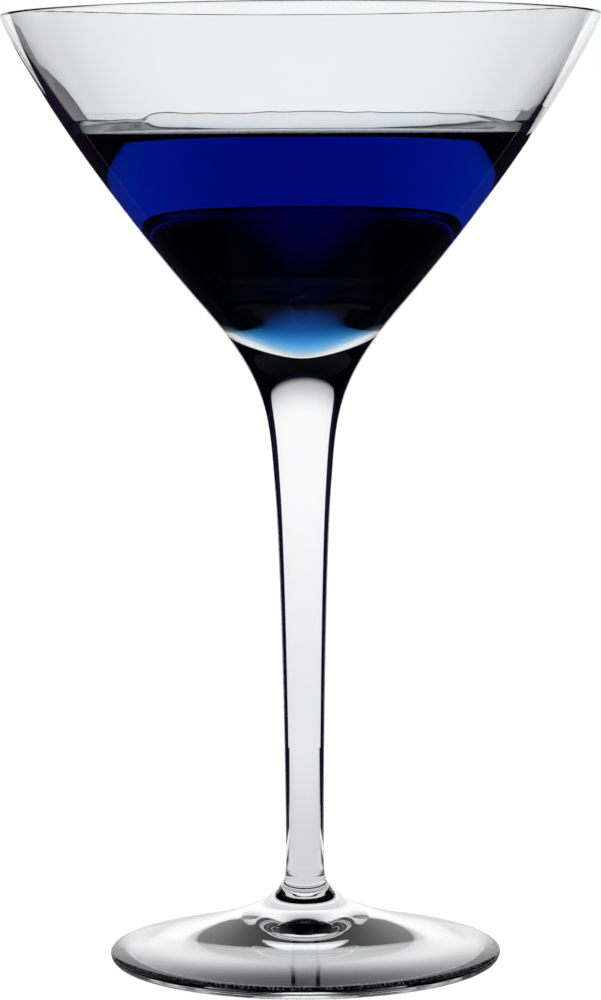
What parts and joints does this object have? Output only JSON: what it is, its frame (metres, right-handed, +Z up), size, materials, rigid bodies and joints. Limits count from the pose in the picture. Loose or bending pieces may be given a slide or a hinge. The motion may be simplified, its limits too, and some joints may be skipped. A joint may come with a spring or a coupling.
{
  "type": "blue cocktail in a stemmed glass",
  "caption": "Stemmed cocktail glass with a wide cone-shaped bowl, slender tapering stem and round foot, part-filled with a deep blue drink.",
  "frame": {"origin": "centre of the foot's underside, on the surface the glass stands on", "axes": "+Z up along the glass's axis of turning, from the foot to the rim; X and Y are alike, because the part is turned"},
  "size_m": [0.1078, 0.1078, 0.172],
  "materials": {
    "clear_glass": "clear polished glass",
    "blue_liquid": "clear deep blue liquid with a still, glossy surface"
  },
  "bodies": {
    "root": {"glass": "clear_glass", "blue_drink": "blue_liquid"}
  },
  "joints": []
}
